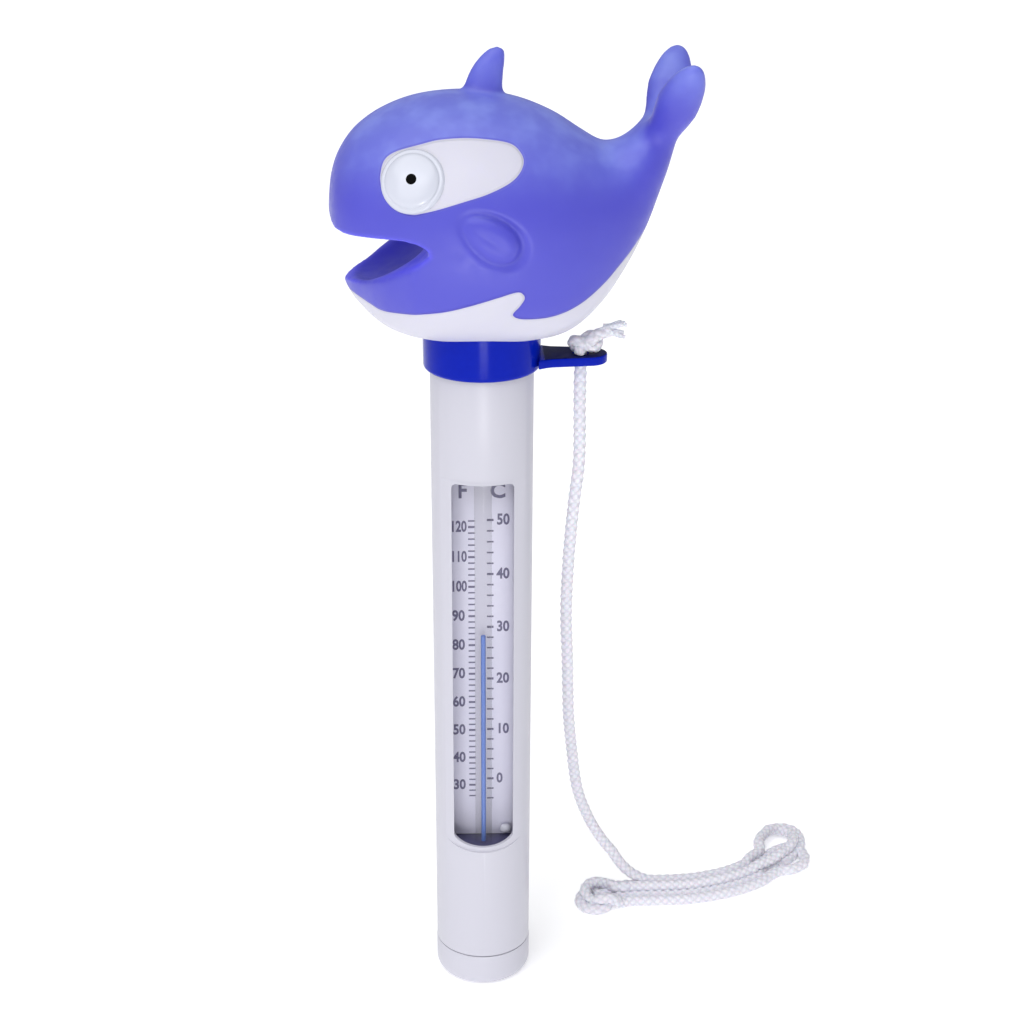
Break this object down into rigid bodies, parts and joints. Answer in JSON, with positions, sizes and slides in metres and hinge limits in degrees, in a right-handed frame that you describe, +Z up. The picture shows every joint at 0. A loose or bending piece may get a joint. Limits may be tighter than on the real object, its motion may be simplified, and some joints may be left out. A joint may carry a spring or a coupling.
{
  "type": "floating pool thermometer",
  "caption": "Floating pool and spa thermometer: a ballasted tube with a windowed spirit scale hangs below a whale float, with a tether cord.",
  "frame": {"origin": "centre of the tube's flat bottom, where it stands on the ground", "axes": "+Z up the tube's axis, -X towards the whale's nose, +X towards the tether tab and the whale's tail, -Y out of the scale window"},
  "size_m": [0.1228, 0.0801, 0.2187],
  "materials": {
    "whale_vinyl": "satin soft vinyl with white painted patches",
    "collar_plastic": "glossy",
    "tube_plastic": "satin",
    "cord_braid": "woven braid",
    "clear_plastic": "clear",
    "glass": "clear",
    "card_print": "matt with printed scales",
    "spirit_blue": "dyed liquid",
    "dark_rubber": "matt",
    "white_glue": "satin",
    "foam": "open foam",
    "steel": "turned"
  },
  "bodies": {
    "float_head": {"whale_shell": "whale_vinyl", "collar": "collar_plastic", "collar_seal": "dark_rubber", "float_plug": "tube_plastic", "tether_cord": "cord_braid", "cord_knot": "cord_braid", "cord_hank": "cord_braid"},
    "thermometer_tube": {"outer_tube": "tube_plastic", "bottom_cap": "tube_plastic", "cap_seal": "dark_rubber", "ballast_slug": "steel", "inner_sleeve": "clear_plastic", "sleeve_bottom_plug": "tube_plastic", "sleeve_bottom_seal": "dark_rubber", "sleeve_top_plug": "tube_plastic", "sleeve_top_seal": "dark_rubber", "top_pad": "foam", "scale_card": "card_print", "card_fixing_bead": "white_glue", "lower_grommet": "dark_rubber", "upper_grommet": "dark_rubber", "glass_bulb": "glass", "glass_stem": "glass", "spirit_reservoir": "spirit_blue", "spirit_column": "spirit_blue"},
    "spirit_level": {"spirit_meniscus": "spirit_blue"}
  },
  "joints": [
    {"name": "tube_turn", "type": "hinge", "parent": "float_head", "child": "thermometer_tube", "pos_m": [0, 0, 0], "axis": [0, 0, 1], "continuous": true},
    {"name": "spirit_rise", "type": "slide", "parent": "thermometer_tube", "child": "spirit_level", "axis": [0, 0, 1], "range_m": [-0.0421, 0.0281], "deforming": ["spirit_column"]}
  ]
}
